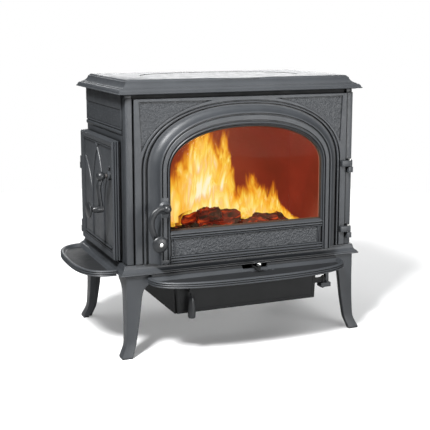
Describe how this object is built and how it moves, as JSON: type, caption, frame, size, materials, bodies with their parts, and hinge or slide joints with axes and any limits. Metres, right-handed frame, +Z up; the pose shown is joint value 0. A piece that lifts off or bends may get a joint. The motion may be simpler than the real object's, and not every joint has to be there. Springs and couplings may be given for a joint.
{
  "type": "wood burning stove",
  "caption": "Side-loading cast-iron wood stove on cabriole legs, with an arched glass front door, ash door with pan, air lever and bowed shelves.",
  "frame": {"origin": "middle of the whole stove's box, on the floor under the feet", "axes": "+X to the right of someone facing the front door, +Y to the rear, +Z up"},
  "size_m": [0.8504, 0.5756, 0.7713],
  "materials": {
    "painted_iron": "matte blue-black stove paint over fine sand-cast grain",
    "bare_iron": "bare cast iron darkened by fire",
    "sheet_steel": "satin dark paint on folded steel",
    "bright_steel": "bright turned steel",
    "ceramic_glass": "clear ceramic fire glass with a faint amber tint",
    "glass_rope": "woven glass-fibre rope, matte",
    "vermiculite": "pressed vermiculite board, matte and crumbly"
  },
  "bodies": {
    "stove": {"top_plate": "painted_iron", "base_plate": "painted_iron", "side_panel_left": "painted_iron", "side_panel_right": "painted_iron", "back_panel": "painted_iron", "front_post_left": "painted_iron", "front_post_right": "painted_iron", "front_frame": "painted_iron", "leg_front_left": "painted_iron", "leg_front_right": "painted_iron", "leg_rear_left": "painted_iron", "leg_rear_right": "painted_iron", "side_shelf": "painted_iron", "front_shelf": "painted_iron", "ash_hinge_bracket": "painted_iron", "flue_collar": "painted_iron", "hearth_plate": "bare_iron", "fire_grate": "bare_iron", "burn_plate_rear": "bare_iron", "burn_plate_right": "bare_iron", "side_hinge_pin_lower": "bare_iron", "side_hinge_pin_upper": "bare_iron", "ash_hinge_pin": "bare_iron", "ash_housing": "sheet_steel", "air_tube_1": "sheet_steel", "air_tube_2": "sheet_steel", "air_wash_deflector": "sheet_steel", "rear_heat_shield": "sheet_steel", "front_hinge_pin_lower": "bright_steel", "front_hinge_pin_upper": "bright_steel", "baffle_board": "vermiculite"},
    "front_door": {"front_door_frame": "painted_iron", "glass_gasket": "glass_rope", "door_glass": "ceramic_glass", "glass_retainer": "sheet_steel", "front_door_gasket": "glass_rope", "front_handle_escutcheon": "painted_iron"},
    "front_handle": {"front_handle_spindle": "bare_iron", "front_handle_arm": "painted_iron", "front_handle_knob": "painted_iron", "front_handle_bolt": "bright_steel", "front_latch_pawl": "bare_iron"},
    "side_door": {"side_door_frame": "painted_iron", "side_door_gasket": "glass_rope", "side_door_liner": "bare_iron"},
    "side_handle": {"side_handle_spindle": "bare_iron", "side_handle_arm": "painted_iron", "side_handle_stem": "bare_iron", "side_handle_knob": "painted_iron", "side_latch_pawl": "bare_iron"},
    "ash_door": {"ash_door": "sheet_steel", "ash_door_gasket": "glass_rope", "ash_pan": "sheet_steel"},
    "ash_handle": {"ash_handle_rod": "sheet_steel", "ash_handle_grip": "painted_iron", "ash_latch_pawl": "bare_iron"},
    "air_control": {"air_lever": "sheet_steel", "air_lever_knob": "bright_steel", "air_slide_plate": "sheet_steel"}
  },
  "joints": [
    {"name": "front_door_hinge", "type": "hinge", "parent": "stove", "child": "front_door", "pos_m": [0.38815, -0.16325, 0.5], "axis": [0, 0, 1], "range_deg": [0, 110]},
    {"name": "front_handle_turn", "type": "hinge", "parent": "front_door", "child": "front_handle", "pos_m": [-0.20585, -0.18925, 0.424], "axis": [0, 1, 0], "range_deg": [0, 60]},
    {"name": "side_door_hinge", "type": "hinge", "parent": "stove", "child": "side_door", "pos_m": [-0.32185, 0.23775, 0.4], "axis": [0, 0, -1], "range_deg": [0, 105]},
    {"name": "side_handle_turn", "type": "hinge", "parent": "side_door", "child": "side_handle", "pos_m": [-0.33065, -0.08125, 0.505], "axis": [-1, 0, 0], "range_deg": [0, 70]},
    {"name": "ash_door_hinge", "type": "hinge", "parent": "stove", "child": "ash_door", "pos_m": [0.29615, -0.17725, 0.165], "axis": [0, 0, 1], "range_deg": [0, 100]},
    {"name": "ash_handle_turn", "type": "hinge", "parent": "ash_door", "child": "ash_handle", "pos_m": [-0.13385, -0.17725, 0.188], "axis": [0, 1, 0], "range_deg": [0, 90]},
    {"name": "air_lever_slide", "type": "slide", "parent": "stove", "child": "air_control", "axis": [1, 0, 0], "range_m": [-0.03, 0.03]}
  ]
}
